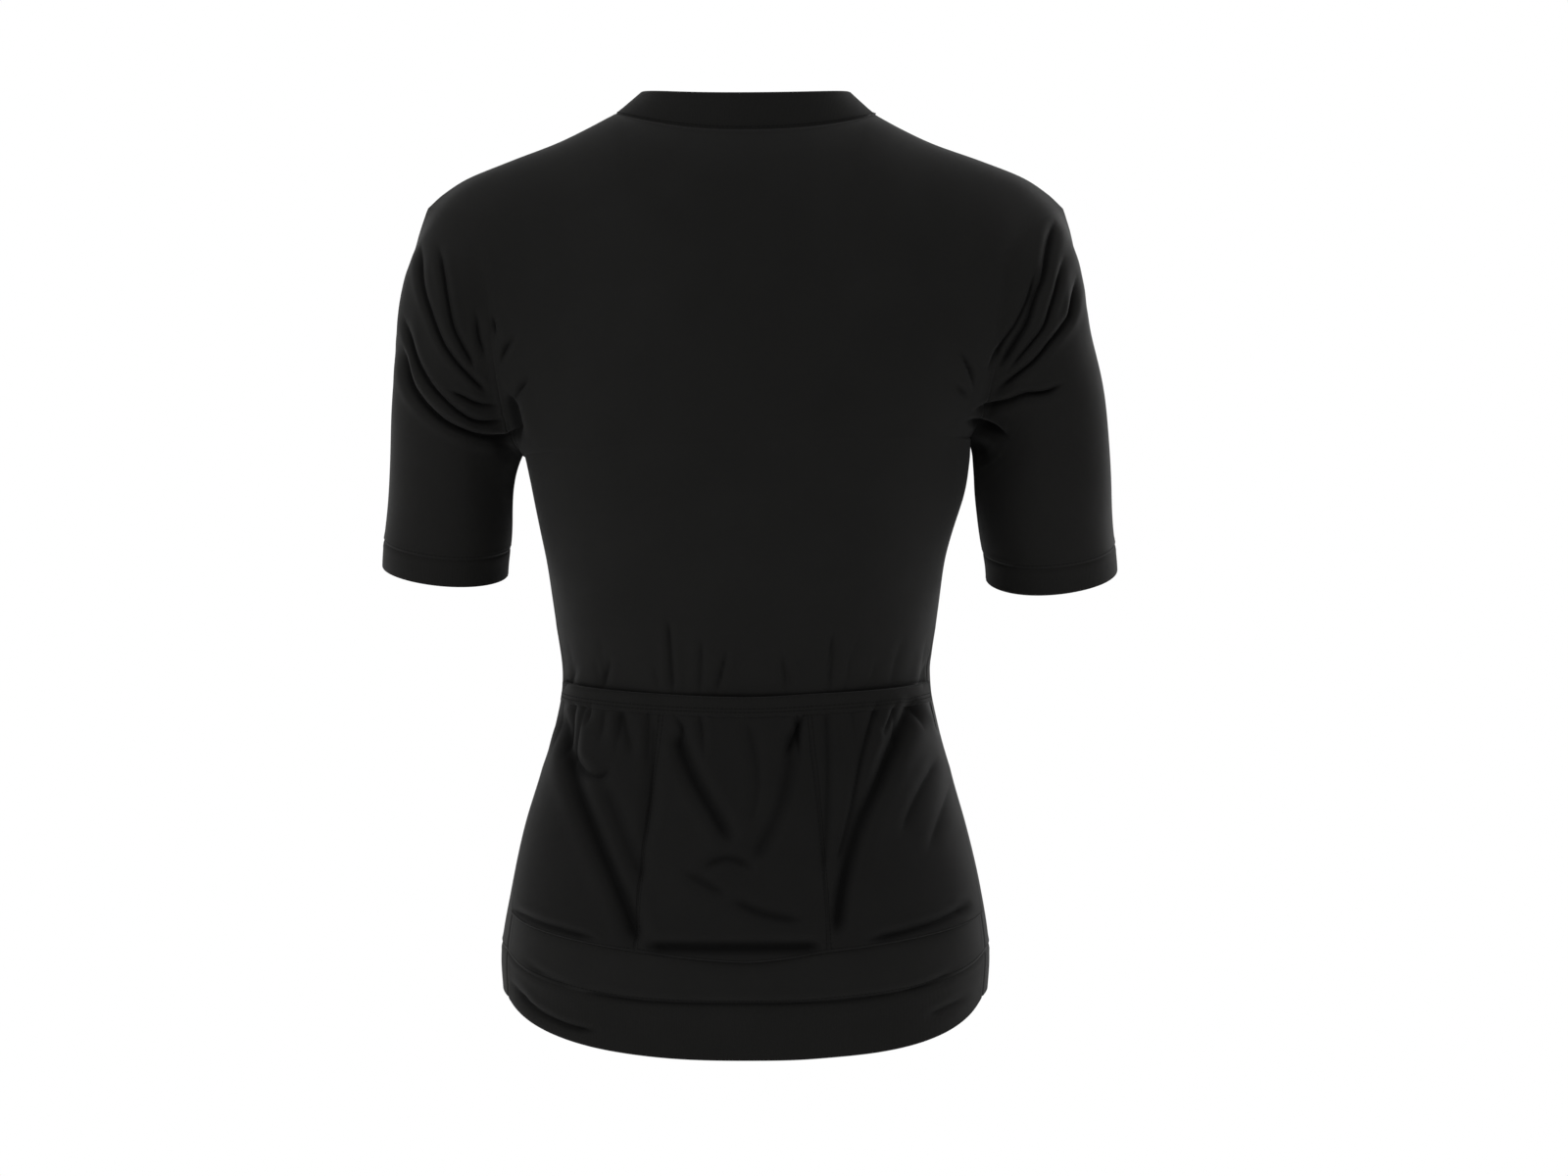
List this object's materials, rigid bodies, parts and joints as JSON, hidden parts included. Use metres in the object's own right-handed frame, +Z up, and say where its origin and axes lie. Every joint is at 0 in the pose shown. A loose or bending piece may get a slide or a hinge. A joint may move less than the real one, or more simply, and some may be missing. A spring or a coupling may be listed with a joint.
{
  "type": "cycling jersey",
  "caption": "Fitted short-sleeve cycling jersey in its worn, hollow form, with a low stand collar, a full front zip, an elastic hem and open pockets across the lower back.",
  "frame": {"origin": "middle of the neck at the height where the shoulders start, where the wearer holds the jersey up", "axes": "+Z up, -Y towards the front zip, +X towards the wearer's left"},
  "size_m": [0.4943, 0.2431, 0.6383],
  "materials": {
    "jersey_knit": "smooth fine stretch knit with a soft sheen",
    "elastic_band": "elastic knit band, matt",
    "pocket_knit": "fine stretch knit, matt",
    "zip_tape": "woven tape, matt",
    "zip_nylon": "moulded nylon, satin"
  },
  "bodies": {
    "garment": {"back_panel": "jersey_knit", "front_left": "jersey_knit", "front_right": "jersey_knit", "sleeve_left": "jersey_knit", "sleeve_right": "jersey_knit", "collar": "elastic_band", "cuff_left": "elastic_band", "cuff_right": "elastic_band", "hem_band_back": "elastic_band", "hem_band_front_left": "elastic_band", "hem_band_front_right": "elastic_band", "pocket_binding": "elastic_band", "pocket_left": "pocket_knit", "pocket_centre": "pocket_knit", "pocket_right": "pocket_knit", "zip_tape_left": "zip_tape", "zip_tape_right": "zip_tape", "zip_chain": "zip_nylon", "zip_stop": "zip_nylon", "zip_slider": "zip_nylon"},
    "pull": {"zip_pull": "zip_nylon"}
  },
  "joints": [
    {"name": "pull_hinge", "type": "hinge", "parent": "garment", "child": "pull", "pos_m": [0, -0.06659, -0.06082], "axis": [-1, 0, 0], "range_deg": [0, 170]}
  ]
}
